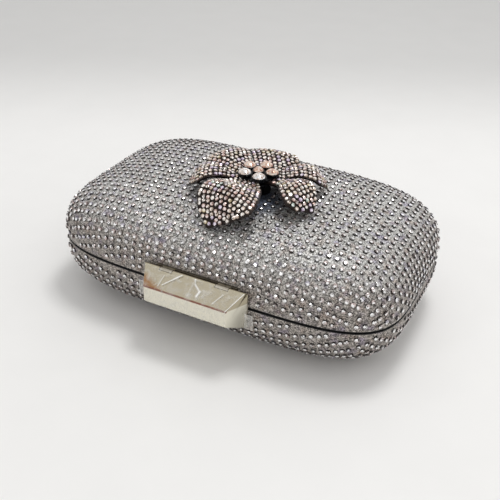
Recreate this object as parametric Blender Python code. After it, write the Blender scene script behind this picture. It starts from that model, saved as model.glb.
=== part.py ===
import math

import bmesh
import bpy
from mathutils import Matrix, Vector

for old_object in list(bpy.data.objects):
    bpy.data.objects.remove(old_object, do_unlink=True)

# Clutch bag: two domed halves that close on each other, a bar clasp on the
# front and a jewelled flower on the lid. Metres, +Z up, the clasp at -Y.
# The origin is the middle of the flat area the closed bag lies on.

# Case
case_length = 0.2
case_width = 0.1224
tray_depth = 0.0321
lid_rise = 0.0354
seam_gap = 0.0007
plan_power = 4.6
tray_power = 3.1
lid_power = 3.2
tray_flat_share = 0.34
lid_flat_share = 0.12
plan_segments = 44
tray_rings = 6
lid_rings = 7

# Layers of each half, from the outside inwards
skin_thickness = 0.0016
shell_thickness = 0.0018
lining_thickness = 0.0012
clearance = 0.0003
cut_overrun = 0.002

# Metal frames round the two rims
band_room = 0.001
band_thickness = 0.001
band_height = 0.008
lip_thickness = 0.0009
lip_height = 0.0025
lip_root_depth = 0.0012

# Hinges at the back
hinge_spacing_share = 0.35
hinge_axis_reach = 0.0012
knuckle_radius = 0.0022
knuckle_room = 0.00035
leaf_width = 0.018
leaf_thickness = 0.0009
tab_thickness = 0.001
tab_height = 0.007
hinge_pin_radius = 0.0009
hinge_pin_stub = 0.0003
round_segments = 16
cup_segments = 12

# Bar clasp on the front
bar_length = 0.059
bar_face_length = 0.047
bar_depth = 0.0118
bar_top = 0.0105
bar_bottom = 0.011
bar_face_top = 0.004
bar_face_bottom = 0.0051
bar_wall = 0.0012
barrel_radius = 0.0014
clasp_pin_radius = 0.00055
clasp_pin_inset = 0.0012
clasp_knuckle_length = 0.007
clasp_knuckle_spacing = 0.032
bracket_length = 0.046
bracket_bottom = 0.003
bracket_height = 0.0071
bracket_thickness = 0.0014
strap_drop = 0.0011
strap_height = 0.0019
magnet_length = 0.018
magnet_height = 0.0044
magnet_thickness = 0.0025
magnet_top_depth = 0.0034
strike_length = 0.026
strike_height = 0.0062
strike_top_depth = 0.0025

# Flower on the lid
flower_x = 0.007
flower_y = -0.0077
post_radius = 0.0018
stem_radius = 0.0028
flange_radius = 0.007
flange_thickness = 0.0009
stem_height = 0.005
seat_radius = 0.0088
seat_thickness = 0.0008
washer_radius = 0.006
washer_thickness = 0.0008
nut_width = 0.007
nut_height = 0.0024
thread_stub = 0.0012
petal_length = 0.0424
petal_half_width = 0.017
petal_crest_rise = 0.0044
petal_thickness = 0.0013
petal_root = 0.0026
petal_gap = 0.0005
petal_tip_gap = 0.0011
petal_tip_width = 0.0012
petal_edge_drop = 0.0032
petal_crest_share = 0.5
petal_fall_power = 1.3
petal_strips = 6
petal_station_shares = (0.0, 0.2, 0.32, 0.44, 0.56, 0.68, 0.8, 0.91, 1.0)
petal_edge_shares = {   # how far an edge stands out at each station, as a share of the half width
    "even": (0.3, 0.6, 0.8, 0.94, 1.0, 0.96, 0.78, 0.48, 0.0),
    "slim": (0.3, 0.45, 0.58, 0.67, 0.73, 0.75, 0.73, 0.53, 0.0),
    "full": (0.3, 0.55, 0.75, 0.9, 1.05, 1.15, 1.16, 0.77, 0.0),
    "late": (0.3, 0.15, 0.13, 0.37, 0.68, 0.91, 1.02, 0.85, 0.0),
}

# Cluster of stones in the flower's middle
cluster_radius = 0.0096
cluster_base_thickness = 0.0009
cup_count = 5
cup_ring_radius = 0.0076
cup_wall = 0.0003
cup_foot_share = 0.8
cup_height = 0.0019
cup_sink = 0.0004
cup_turn = -62.0
stone_radius = 0.0035
middle_stone_share = 0.8
stone_height = 0.0026
stone_bed_depth = 0.0011
stone_sides = 10
stone_table_share = 0.56
stone_foot_share = 0.62
stone_girdle_share = 0.42
stone_crown_share = 0.82
stone_crown_level_share = 0.8

# Heights that the sizes above give
tray_rim = tray_depth
seam_level = tray_depth + seam_gap / 2
lid_rim = tray_depth + seam_gap
lid_top = lid_rim + lid_rise
half_length = case_length / 2
half_width = case_width / 2
hinge_spacing = case_length * hinge_spacing_share

# Depths of each layer below the outside surface
shell_offset = skin_thickness + clearance
shell_inner_offset = shell_offset + shell_thickness
lining_offset = shell_inner_offset + clearance
lining_inner_offset = lining_offset + lining_thickness
band_offset = shell_inner_offset + band_room
band_inner_offset = band_offset + band_thickness
lip_offset = band_inner_offset + clearance
lip_inner_offset = lip_offset + lip_thickness
lining_start = band_height + clearance

collection = bpy.context.scene.collection


def flat_level_share(power, flat_share):
    return (1 - flat_share ** power) ** (1 / power)


# The two halves: where the rim is, which way it swells and how it curves
tray = {
    "rim": tray_rim,
    "way": -1,
    "power": tray_power,
    "flat": tray_flat_share,
    "rings": tray_rings,
    "depth": tray_depth / flat_level_share(tray_power, tray_flat_share),
}
lid = {
    "rim": lid_rim,
    "way": 1,
    "power": lid_power,
    "flat": lid_flat_share,
    "rings": lid_rings,
    "depth": lid_rise / flat_level_share(lid_power, lid_flat_share),
}


def set_material(item, colour, metallic, roughness):
    material = bpy.data.materials.new(item.name)
    material.use_nodes = True
    shader = material.node_tree.nodes["Principled BSDF"]
    linear = [value ** 2.2 for value in colour]
    shader.inputs["Base Color"].default_value = (*linear, 1)
    shader.inputs["Metallic"].default_value = metallic
    shader.inputs["Roughness"].default_value = roughness
    item.data.materials.clear()
    item.data.materials.append(material)


def make_object(name, shape, smooth_angle=None):
    bmesh.ops.recalc_face_normals(shape, faces=shape.faces)
    mesh = bpy.data.meshes.new(name)
    shape.to_mesh(mesh)
    shape.free()
    if smooth_angle is not None:
        mesh.shade_smooth()
        mesh.set_sharp_from_angle(angle=math.radians(smooth_angle))
    item = bpy.data.objects.new(name, mesh)
    collection.objects.link(item)
    return item


def as_cutter(item):
    item.hide_render = True
    item.display_type = "WIRE"
    return item


def boolean(item, tool, operation="DIFFERENCE"):
    modifier = item.modifiers.new(tool.name, "BOOLEAN")
    modifier.operation = operation
    modifier.solver = "EXACT"
    modifier.object = tool


def plan_point(offset, share, step):
    # A point of the rounded rectangle that the case follows in plan
    angle = 2 * math.pi * step / plan_segments
    along = math.cos(angle)
    across = math.sin(angle)
    x = (half_length - offset) * share * math.copysign(abs(along) ** (2 / plan_power), along)
    y = (half_width - offset) * share * math.copysign(abs(across) ** (2 / plan_power), across)
    return x, y


def plan_ring(shape, offset, share, level):
    return [shape.verts.new((*plan_point(offset, share, step), level)) for step in range(plan_segments)]


def join_rings(shape, first, second):
    for step in range(len(first)):
        following = (step + 1) % len(first)
        shape.faces.new((first[step], first[following], second[following], second[step]))


def ring_angles(half):
    # Steps down the side wall: the rim, the frame's far edge, then evenly to the flat
    depth = half["depth"] - lining_offset
    start = math.asin((lining_start / depth) ** (half["power"] / 2))
    end = math.acos(half["flat"] ** (half["power"] / 2))
    steps = [start + (end - start) * ring / half["rings"] for ring in range(half["rings"] + 1)]
    return [0] + steps


def wall_rings(shape, half, offset, from_frame):
    power = half["power"]
    depth = half["depth"] - offset
    rings = []
    for number, angle in enumerate(ring_angles(half)):
        if from_frame and number == 0:
            continue
        share = math.cos(angle) ** (2 / power)
        drop = depth * math.sin(angle) ** (2 / power)
        if from_frame and number == 1:
            drop = lining_start
            share = (1 - (drop / depth) ** power) ** (1 / power)
        rings.append(plan_ring(shape, offset, share, half["rim"] + half["way"] * drop))
    return rings


def make_wall(name, half, outer_offset, inner_offset, from_frame=False):
    # A domed wall between two depths below the outside, open at its rim
    shape = bmesh.new()
    outer = wall_rings(shape, half, outer_offset, from_frame)
    inner = wall_rings(shape, half, inner_offset, from_frame)
    for rings in (outer, inner):
        for number in range(len(rings) - 1):
            join_rings(shape, rings[number], rings[number + 1])
        shape.faces.new(rings[-1])
    join_rings(shape, outer[0], inner[0])
    return make_object(name, shape, 40)


def make_frame(name, section):
    # A ring of metal that follows the rim, from its cut section
    shape = bmesh.new()
    rings = [plan_ring(shape, offset, 1, level) for offset, level in section]
    for number in range(len(rings)):
        join_rings(shape, rings[number], rings[(number + 1) % len(rings)])
    return make_object(name, shape, 30)


def add_prism(shape, outline, start, end):
    # An outline in Y and Z carried along X
    near = [shape.verts.new((start, y, z)) for y, z in outline]
    far = [shape.verts.new((end, y, z)) for y, z in outline]
    join_rings(shape, near, far)
    shape.faces.new(near)
    shape.faces.new(far)


def make_prism(name, outline, spans, smooth_angle=30):
    shape = bmesh.new()
    for start, end in spans:
        add_prism(shape, outline, start, end)
    return make_object(name, shape, smooth_angle)


def box_outline(y_low, y_high, z_low, z_high):
    return [(y_low, z_low), (y_high, z_low), (y_high, z_high), (y_low, z_high)]


def arc(centre_y, centre_z, radius, start, end, steps):
    points = []
    for step in range(steps + 1):
        angle = start + (end - start) * step / steps
        points.append((centre_y + radius * math.cos(angle), centre_z + radius * math.sin(angle)))
    return points


def circle(centre_y, centre_z, radius):
    return arc(centre_y, centre_z, radius, 0, 2 * math.pi, round_segments)[:-1]


def make_turned(name, profile, centre_x, centre_y, segments):
    # A profile of radius and height spun round an upright axis
    shape = bmesh.new()
    rings = []
    for radius, level in profile:
        ring = []
        for step in range(segments):
            angle = 2 * math.pi * step / segments
            x = centre_x + radius * math.cos(angle)
            y = centre_y + radius * math.sin(angle)
            ring.append(shape.verts.new((x, y, level)))
        rings.append(ring)
    for number in range(len(rings) - 1):
        join_rings(shape, rings[number], rings[number + 1])
    return shape, rings


def make_solid_turned(name, profile, centre_x, centre_y, segments=round_segments):
    shape, rings = make_turned(name, profile, centre_x, centre_y, segments)
    shape.faces.new(rings[0])
    shape.faces.new(rings[-1])
    return make_object(name, shape, 30)


def make_ring_turned(name, profile, centre_x, centre_y, segments=round_segments):
    shape, rings = make_turned(name, profile, centre_x, centre_y, segments)
    join_rings(shape, rings[-1], rings[0])
    return make_object(name, shape, 30)


# Walls of the tray and of the lid
tray_skin = make_wall("lower_skin", tray, 0, skin_thickness)
tray_shell = make_wall("lower_shell", tray, shell_offset, shell_inner_offset)
tray_lining = make_wall("lower_lining", tray, lining_offset, lining_inner_offset, True)
lid_skin = make_wall("upper_skin", lid, 0, skin_thickness)
lid_shell = make_wall("upper_shell", lid, shell_offset, shell_inner_offset)
lid_lining = make_wall("upper_lining", lid, lining_offset, lining_inner_offset, True)

# Frames: the lower one carries the lip that the upper one closes over
frame_edge = clearance / 2
tray_frame = make_frame("lower_frame", [
    (band_offset, seam_level - band_height),
    (band_offset, seam_level - frame_edge),
    (lip_offset, seam_level - frame_edge),
    (lip_offset, seam_level + lip_height),
    (lip_inner_offset, seam_level + lip_height),
    (lip_inner_offset, seam_level - frame_edge - lip_root_depth),
    (band_inner_offset, seam_level - frame_edge - lip_root_depth),
    (band_inner_offset, seam_level - band_height),
])
lid_frame = make_frame("upper_frame", [
    (band_offset, seam_level + frame_edge),
    (band_offset, seam_level + band_height),
    (band_inner_offset, seam_level + band_height),
    (band_inner_offset, seam_level + frame_edge),
])

# Hinge places
hinge_y = half_width + hinge_axis_reach
hinge_room_radius = knuckle_radius + knuckle_room
tab_inner_y = half_width - band_offset + clearance
tab_outer_y = tab_inner_y + tab_thickness
strap_far = frame_edge + leaf_thickness
strap_room = strap_far + clearance
plate_edge_y = hinge_y - knuckle_radius - clearance

# Room for a hinge: the knuckles, the straps and the tabs behind the frames
room_angle = math.asin(strap_room / hinge_room_radius)
hinge_room = arc(hinge_y, seam_level, hinge_room_radius, math.pi - room_angle, room_angle - math.pi, round_segments)
hinge_room += [
    (tab_outer_y + clearance, seam_level - strap_room),
    (tab_outer_y + clearance, seam_level - tab_height - clearance),
    (tab_inner_y - cut_overrun, seam_level - tab_height - clearance),
    (tab_inner_y - cut_overrun, seam_level + tab_height + clearance),
    (tab_outer_y + clearance, seam_level + tab_height + clearance),
    (tab_outer_y + clearance, seam_level + strap_room),
]
hinge_centres = (-hinge_spacing / 2, hinge_spacing / 2)
room_reach = leaf_width / 2 + clearance
hinge_cutter = as_cutter(make_prism(
    "hinge_room", hinge_room, [(x - room_reach, x + room_reach) for x in hinge_centres]))
for wall in (tray_skin, tray_shell, lid_skin, lid_shell):
    boolean(wall, hinge_cutter)


def leaf_outline(way):
    # The strap that enters the seam and the tab turned behind the frame
    near = seam_level + way * frame_edge
    far = seam_level + way * strap_far
    end = seam_level + way * tab_height
    return [
        (plate_edge_y, near),
        (tab_inner_y, near),
        (tab_inner_y, end),
        (tab_outer_y, end),
        (tab_outer_y, far),
        (plate_edge_y, far),
    ]


def knuckle_outline(way):
    # A round knuckle and its tongue, which runs on into the strap
    near_turn = math.asin(frame_edge / knuckle_radius)
    far_turn = math.asin(strap_far / knuckle_radius)
    start = math.pi - way * far_turn
    end = math.pi - way * (2 * math.pi + near_turn)
    points = arc(hinge_y, seam_level, knuckle_radius, start, end, round_segments)
    inner_y = plate_edge_y - leaf_thickness
    points.append((inner_y, seam_level + way * frame_edge))
    points.append((inner_y, seam_level + way * strap_far))
    return points


knuckle_length = (leaf_width - 2 * clearance) / 3
outer_start = leaf_width / 2 - knuckle_length


def make_leaf(name, centre, way, spans):
    leaf = make_prism(name, leaf_outline(way), [(centre - leaf_width / 2, centre + leaf_width / 2)])
    knuckles = as_cutter(make_prism(name + "_knuckles", knuckle_outline(way),
                                    [(centre + start, centre + end) for start, end in spans]))
    bore = as_cutter(make_prism(name + "_bore", circle(hinge_y, seam_level, hinge_pin_radius + clearance),
                                [(centre - leaf_width, centre + leaf_width)]))
    boolean(leaf, knuckles, "UNION")
    boolean(leaf, bore)
    return leaf


outer_spans = ((-leaf_width / 2, -outer_start), (outer_start, leaf_width / 2))
middle_span = ((-knuckle_length / 2, knuckle_length / 2),)
lower_leaves = []
upper_leaves = []
hinge_pins = []
for side, centre in zip(("left", "right"), hinge_centres):
    lower_leaves.append(make_leaf("hinge_leaf_lower_" + side, centre, -1, outer_spans))
    upper_leaves.append(make_leaf("hinge_leaf_upper_" + side, centre, 1, middle_span))
    pin_reach = leaf_width / 2 + hinge_pin_stub
    hinge_pins.append(make_prism("hinge_pin_" + side, circle(hinge_y, seam_level, hinge_pin_radius),
                                 [(centre - pin_reach, centre + pin_reach)]))

# Bar of the clasp: a hollow bevelled bar that turns on a pin along its top
bar_back_y = -(half_width + clearance)
bar_face_y = bar_back_y - bar_depth
pivot_y = bar_back_y - barrel_radius
pivot_z = seam_level + bar_top - barrel_radius
face_top_z = seam_level + bar_face_top
face_bottom_z = seam_level - bar_face_bottom
back_bottom_z = seam_level - bar_bottom
reach_y = pivot_y - bar_face_y
reach_z = pivot_z - face_top_z
reach = math.hypot(reach_y, reach_z)
bevel_angle = math.atan2(reach_z, reach_y) + math.asin(barrel_radius / reach)
lower_angle = math.atan2(face_bottom_z - back_bottom_z, bar_depth)


def end_plane_cut(shape, inset):
    # Trims both slanted ends of the bar, leaving them closed
    slope = (bar_length - bar_face_length) / 2
    for way in (-1, 1):
        normal = Vector((way * bar_depth, -slope, 0)).normalized()
        point = Vector((way * bar_length / 2, bar_back_y, 0)) - normal * inset
        geometry = shape.verts[:] + shape.edges[:] + shape.faces[:]
        result = bmesh.ops.bisect_plane(shape, geom=geometry, dist=clearance / 1000,
                                        plane_co=point, plane_no=normal, clear_outer=True)
        cut_edges = [part for part in result["geom_cut"] if isinstance(part, bmesh.types.BMEdge)]
        bmesh.ops.contextual_create(shape, geom=cut_edges)


def make_bar_solid(name, outline, inset):
    shape = bmesh.new()
    add_prism(shape, outline, -bar_length, bar_length)
    end_plane_cut(shape, inset)
    return make_object(name, shape)


barrel_arc = arc(pivot_y, pivot_z, barrel_radius, math.pi / 2 + bevel_angle, 0, round_segments // 2)
bar_outline = [(bar_back_y, back_bottom_z), (bar_face_y, face_bottom_z), (bar_face_y, face_top_z)] + barrel_arc
clasp_bar = make_bar_solid("clasp_bar", bar_outline, 0)

inner_face_y = bar_face_y + bar_wall
open_y = bar_back_y + cut_overrun
hollow_top = pivot_z - barrel_radius - clearance
lower_start = back_bottom_z + bar_wall / math.cos(lower_angle)
lower_rise = math.tan(lower_angle)
upper_start = face_top_z - bar_wall / math.cos(bevel_angle)
upper_rise = math.tan(bevel_angle)
hollow_outline = [
    (open_y, lower_start + lower_rise * (bar_back_y - open_y)),
    (inner_face_y, lower_start + lower_rise * (bar_back_y - inner_face_y)),
    (inner_face_y, upper_start + upper_rise * (inner_face_y - bar_face_y)),
    (bar_face_y + (hollow_top - upper_start) / upper_rise, hollow_top),
    (open_y, hollow_top),
]
bar_hollow = as_cutter(make_bar_solid("bar_hollow", hollow_outline, bar_wall))
boolean(clasp_bar, bar_hollow)

knuckle_centres = (-clasp_knuckle_spacing / 2, clasp_knuckle_spacing / 2)
slot_reach = clasp_knuckle_length / 2 + clearance
slot_outline = box_outline(pivot_y - barrel_radius - clearance, bar_back_y + cut_overrun,
                           hollow_top - cut_overrun / 2, pivot_z + barrel_radius + cut_overrun)
bar_slots = as_cutter(make_prism("bar_slots", slot_outline,
                                 [(x - slot_reach, x + slot_reach) for x in knuckle_centres]))
boolean(clasp_bar, bar_slots)
clasp_bore = as_cutter(make_prism("clasp_bore", circle(pivot_y, pivot_z, clasp_pin_radius + clearance),
                                  [(-bar_length, bar_length)]))
boolean(clasp_bar, clasp_bore)

# Pin, bracket behind the bar, magnet in the bar and its plate in the tray
pin_end = bar_length / 2 - clasp_pin_inset
clasp_pin = make_prism("clasp_pin", circle(pivot_y, pivot_z, clasp_pin_radius), [(-pin_end, pin_end)])
plate_back_y = -(half_width - shell_offset + clearance)
plate_face_y = plate_back_y - bracket_thickness
bracket = make_prism("clasp_bracket", box_outline(
    plate_face_y, plate_back_y, seam_level + bracket_bottom, seam_level + bracket_bottom + bracket_height),
    [(-bracket_length / 2, bracket_length / 2)])
knuckle_spans = [(x - clasp_knuckle_length / 2, x + clasp_knuckle_length / 2) for x in knuckle_centres]
strap_top = pivot_z - strap_drop + strap_height
bracket_straps = as_cutter(make_prism("bracket_straps", box_outline(
    pivot_y, plate_face_y + bracket_thickness / 2, pivot_z - strap_drop, strap_top), knuckle_spans))
bracket_barrels = as_cutter(make_prism("bracket_barrels", circle(pivot_y, pivot_z, barrel_radius), knuckle_spans))
boolean(bracket, bracket_straps, "UNION")
boolean(bracket, bracket_barrels, "UNION")
boolean(bracket, clasp_bore)

magnet_back_y = bar_back_y - clearance
magnet_top_z = seam_level - magnet_top_depth
magnet = make_prism("clasp_magnet", box_outline(
    magnet_back_y - magnet_thickness, magnet_back_y, magnet_top_z - magnet_height, magnet_top_z),
    [(-magnet_length / 2, magnet_length / 2)])
strike_top_z = seam_level - strike_top_depth
strike = make_prism("strike_plate", box_outline(
    plate_face_y, plate_back_y, strike_top_z - strike_height, strike_top_z),
    [(-strike_length / 2, strike_length / 2)])

bracket_reach = bracket_length / 2 + clearance
bracket_window = as_cutter(make_prism("bracket_window", box_outline(
    -(half_width + cut_overrun), -(half_width - skin_thickness - cut_overrun),
    seam_level + bracket_bottom - clearance, seam_level + bracket_bottom + bracket_height + clearance),
    [(-bracket_reach, bracket_reach)]))
boolean(lid_skin, bracket_window)
strike_reach = strike_length / 2 + clearance
strike_window = as_cutter(make_prism("strike_window", box_outline(
    -(half_width + cut_overrun), -(half_width - skin_thickness - cut_overrun),
    strike_top_z - strike_height - clearance, strike_top_z + clearance),
    [(-strike_reach, strike_reach)]))
boolean(tray_skin, strike_window)

# Post of the flower, clamped through the lid by a washer and a nut
flange_low = lid_top + clearance
flange_high = flange_low + flange_thickness
seat_low = flange_high + stem_height
seat_bottom = seat_low + clearance
seat_top = seat_bottom + seat_thickness
root_bottom = seat_top + clearance
root_top = root_bottom + petal_thickness
cluster_bottom = root_top + clearance
washer_top = lid_top - lining_inner_offset - clearance
washer_bottom = washer_top - washer_thickness
nut_top = washer_bottom - clearance
nut_bottom = nut_top - nut_height
post = make_solid_turned("flower_post", [
    (post_radius, nut_bottom - thread_stub),
    (post_radius, flange_low),
    (flange_radius, flange_low),
    (flange_radius, flange_high),
    (stem_radius, flange_high),
    (stem_radius, seat_low),
    (post_radius, seat_low),
    (post_radius, root_top),
], flower_x, flower_y)
bore_radius = post_radius + clearance
post_bore = as_cutter(make_solid_turned("post_bore", [
    (bore_radius, nut_bottom - cut_overrun),
    (bore_radius, lid_top + cut_overrun),
], flower_x, flower_y))
for wall in (lid_skin, lid_shell, lid_lining):
    boolean(wall, post_bore)
seat = make_ring_turned("flower_seat", [
    (bore_radius, seat_bottom), (seat_radius, seat_bottom),
    (seat_radius, seat_top), (bore_radius, seat_top)], flower_x, flower_y)
washer = make_ring_turned("flower_washer", [
    (bore_radius, washer_bottom), (washer_radius, washer_bottom),
    (washer_radius, washer_top), (bore_radius, washer_top)], flower_x, flower_y)
nut_corner = nut_width / 2 / math.cos(math.pi / 6)
nut = make_solid_turned("flower_nut", [(nut_corner, nut_bottom), (nut_corner, nut_top)], flower_x, flower_y, 6)
boolean(nut, post_bore)


def lid_level(x, y):
    # Height of the lid's outside above a point
    reach_x = abs(x / half_length) ** plan_power
    reach_y = abs(y / half_width) ** plan_power
    share = min((reach_x + reach_y) ** (1 / plan_power), 1)
    return lid_rim + lid["depth"] * (1 - share ** lid_power) ** (1 / lid_power)


# Petals: direction, the directions where they meet their neighbours, the shares of
# the named length, half width and rise of the crest, and the forms of the two edges
petal_shares = {
    "petal_front": (259.6, 222.0, 303.0, 0.985, 1, 1, "slim", "full"),
    "petal_front_right": (343.4, 316.0, 371.5, 0.889, 0.718, 0.91, "late", "even"),
    "petal_right": (28.0, 11.5, 62.0, 0.877, 0.753, 0.77, "even", "even"),
    "petal_back": (98.0, 62.0, 126.0, 0.837, 0.912, 0.7, "even", "even"),
    "petal_back_left": (155.0, 126.0, 181.0, 0.91, 0.824, 0.82, "even", "even"),
    "petal_left": (204.0, 181.0, 222.0, 0.873, 0.794, 0.73, "even", "even"),
}


def make_petal(name, heading, low_edge, high_edge, length_share, width_share, crest_share, low_form, high_form):
    shape = bmesh.new()
    length = petal_length * length_share
    width = petal_half_width * width_share
    crest_rise = petal_crest_rise * crest_share
    axis = math.radians(heading)
    limits = (math.radians(heading - low_edge), math.radians(high_edge - heading))
    tip_level = lid_level(flower_x + length * math.cos(axis), flower_y + length * math.sin(axis))
    tip_level += petal_tip_gap
    crest = root_bottom + crest_rise
    flat_reach = cup_ring_radius + stone_radius
    crest_reach = flat_reach + (length - flat_reach) * petal_crest_share
    last_station = len(petal_station_shares) - 1
    upper = []
    lower = []
    for station, along in enumerate(petal_station_shares):
        reach = petal_root + (length - petal_root) * along
        if reach < crest_reach:
            climb = max((reach - flat_reach) / (crest_reach - flat_reach), 0)
            level = root_bottom + crest_rise * (1 - math.cos(math.pi * climb)) / 2
        else:
            fall = (reach - crest_reach) / (length - crest_reach)
            level = tip_level + (crest - tip_level) * math.cos(math.pi / 2 * fall ** petal_fall_power)
        past = max((reach - flat_reach) / (length - flat_reach), 0)
        sides = []
        for limit, form in zip(limits, (low_form, high_form)):
            half = petal_tip_width / 2 + width * petal_edge_shares[form][station]
            allowed = reach * math.tan(min(limit, math.radians(80))) - petal_gap / 2 / math.cos(limit)
            sides.append(min(half, allowed))
        row_up = []
        row_low = []
        for strip in range(petal_strips + 1):
            turn = 2 * strip / petal_strips - 1
            across = sides[0] * turn if turn < 0 else sides[1] * turn
            sag = petal_edge_drop * (across / width) ** 2 * math.sin(math.pi * past)
            x = flower_x + reach * math.cos(axis) - across * math.sin(axis)
            y = flower_y + reach * math.sin(axis) + across * math.cos(axis)
            row_low.append(shape.verts.new((x, y, level - sag)))
            row_up.append(shape.verts.new((x, y, level - sag + petal_thickness)))
        upper.append(row_up)
        lower.append(row_low)
    for station in range(last_station):
        for strip in range(petal_strips):
            for rows in (upper, lower):
                shape.faces.new((rows[station][strip], rows[station + 1][strip],
                                 rows[station + 1][strip + 1], rows[station][strip + 1]))
        for strip in (0, petal_strips):
            shape.faces.new((upper[station][strip], upper[station + 1][strip],
                             lower[station + 1][strip], lower[station][strip]))
    for station in (0, last_station):
        for strip in range(petal_strips):
            shape.faces.new((upper[station][strip], upper[station][strip + 1],
                             lower[station][strip + 1], lower[station][strip]))
    return make_object(name, shape, 50)


petal_objects = [make_petal(name, *values) for name, values in petal_shares.items()]

# Setting with a middle cup and a ring of cups, each with its cut stone
setting = make_solid_turned("cluster_setting", [
    (cluster_radius, cluster_bottom),
    (cluster_radius, cluster_bottom + cluster_base_thickness),
], flower_x, flower_y)
cup_places = [(flower_x, flower_y, middle_stone_share)]
for cup in range(cup_count):
    angle = math.radians(cup_turn) + 2 * math.pi * cup / cup_count
    x = flower_x + cup_ring_radius * math.cos(angle)
    y = flower_y + cup_ring_radius * math.sin(angle)
    cup_places.append((x, y, 1))
cup_low = cluster_bottom + cup_sink
cup_high = cup_low + cup_height


def make_cups(name, profile, segments):
    # The same profile at every cup: share of the stone's radius, room round it and height
    shape = bmesh.new()
    for x, y, size in cup_places:
        rings = []
        for share, room, level in profile:
            radius = stone_radius * size * share + room
            ring = []
            for step in range(segments):
                angle = 2 * math.pi * step / segments
                ring.append(shape.verts.new((x + radius * math.cos(angle), y + radius * math.sin(angle), level)))
            rings.append(ring)
        for number in range(len(rings) - 1):
            join_rings(shape, rings[number], rings[number + 1])
        shape.faces.new(rings[0])
        shape.faces.new(rings[-1])
    return as_cutter(make_object(name, shape, 30))


cup_room = clearance + cup_wall
cup_bodies = make_cups("cup_bodies", [
    (cup_foot_share, cup_room, cup_low), (1, cup_room, cup_high)], cup_segments)
cup_beds = make_cups("cup_beds", [
    (stone_foot_share, clearance, cup_high - stone_bed_depth),
    (1, clearance, cup_high), (1, clearance, cup_high + cut_overrun)], cup_segments)
boolean(setting, cup_bodies, "UNION")
boolean(setting, cup_beds)

stone_low = cup_high - stone_bed_depth + clearance
stones = []
for number, (x, y, size) in enumerate(cup_places):
    radius = stone_radius * size
    stones.append(make_solid_turned("stone_" + str(number + 1), [
        (radius * stone_foot_share, stone_low),
        (radius, stone_low + stone_height * stone_girdle_share),
        (radius * stone_crown_share, stone_low + stone_height * stone_crown_level_share),
        (radius * stone_table_share, stone_low + stone_height),
    ], x, y, stone_sides))
    stones[-1].data.shade_flat()


def carry(name, place, items):
    # Hangs pieces on an empty that stands on their joint's axis
    empty = bpy.data.objects.new(name, None)
    empty.location = place
    empty.empty_display_size = knuckle_radius
    collection.objects.link(empty)
    for item in items:
        item.parent = empty
        item.matrix_parent_inverse = Matrix.Translation(-Vector(place))
    return empty


clasp_axis = carry("clasp_axis", (0, pivot_y, pivot_z), [clasp_bar, magnet])
lid_items = [lid_skin, lid_shell, lid_lining, lid_frame, bracket, clasp_pin, post, seat, washer, nut, setting]
lid_items += upper_leaves + petal_objects + stones
lid_axis = carry("lid_axis", (0, hinge_y, seam_level), lid_items + [clasp_axis])

# Colours and finishes
fabric = (0.62, 0.61, 0.62)
for item in (tray_skin, lid_skin):
    set_material(item, fabric, 0.3, 0.45)
for item in (tray_shell, lid_shell):
    set_material(item, (0.2, 0.2, 0.21), 0, 0.6)
for item in (tray_lining, lid_lining):
    set_material(item, (0.5, 0.49, 0.5), 0, 0.5)
for item in [tray_frame, lid_frame] + lower_leaves + upper_leaves + hinge_pins:
    set_material(item, (0.78, 0.76, 0.72), 1, 0.2)
for item in (clasp_bar, clasp_pin, bracket):
    set_material(item, (0.86, 0.84, 0.79), 1, 0.12)
for item in (magnet, strike, washer, nut, post, seat):
    set_material(item, (0.6, 0.6, 0.61), 1, 0.3)
for item in petal_objects:
    set_material(item, (0.5, 0.42, 0.4), 0.4, 0.35)
set_material(setting, (0.05, 0.05, 0.055), 0.6, 0.35)
for item in stones:
    set_material(item, (0.85, 0.7, 0.62), 0.1, 0.05)
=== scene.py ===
import math
import random
from bisect import bisect

import bpy
from mathutils import Matrix, Vector, noise


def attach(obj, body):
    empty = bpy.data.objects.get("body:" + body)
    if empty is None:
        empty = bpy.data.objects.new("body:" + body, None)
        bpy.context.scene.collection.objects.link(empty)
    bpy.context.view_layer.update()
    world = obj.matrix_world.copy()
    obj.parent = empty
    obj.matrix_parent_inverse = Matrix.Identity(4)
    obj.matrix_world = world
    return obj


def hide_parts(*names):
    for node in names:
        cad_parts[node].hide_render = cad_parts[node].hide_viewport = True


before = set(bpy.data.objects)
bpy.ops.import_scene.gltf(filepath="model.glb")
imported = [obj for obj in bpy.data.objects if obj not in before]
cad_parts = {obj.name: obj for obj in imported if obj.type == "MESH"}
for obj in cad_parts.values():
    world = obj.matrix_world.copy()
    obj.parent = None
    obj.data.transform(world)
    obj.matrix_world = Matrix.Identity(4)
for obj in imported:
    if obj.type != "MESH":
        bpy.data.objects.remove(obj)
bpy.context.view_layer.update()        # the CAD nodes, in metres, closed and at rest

scene = bpy.context.scene
print("frame loaded,", len(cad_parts), "nodes")


# Small helpers

def clamp(value):
    return min(max(value, 0), 1)


def clearSelection():
    if bpy.context.object and bpy.context.object.mode != "OBJECT":
        bpy.ops.object.mode_set(mode="OBJECT")
    bpy.ops.object.select_all(action="DESELECT")


def pick(piece):
    clearSelection()
    piece.select_set(True)
    bpy.context.view_layer.objects.active = piece


def editAll():
    bpy.ops.object.mode_set(mode="EDIT")
    bpy.ops.mesh.select_all(action="SELECT")


def pickPoints(piece, test):
    # Selects the vertices that pass a test, and leaves the piece in edit mode
    bpy.ops.object.mode_set(mode="EDIT")
    bpy.ops.mesh.select_mode(type="VERT")
    bpy.ops.mesh.select_all(action="DESELECT")
    bpy.ops.object.mode_set(mode="OBJECT")
    for point in piece.data.vertices:
        point.select = test(point.co)
    bpy.ops.object.mode_set(mode="EDIT")


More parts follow.
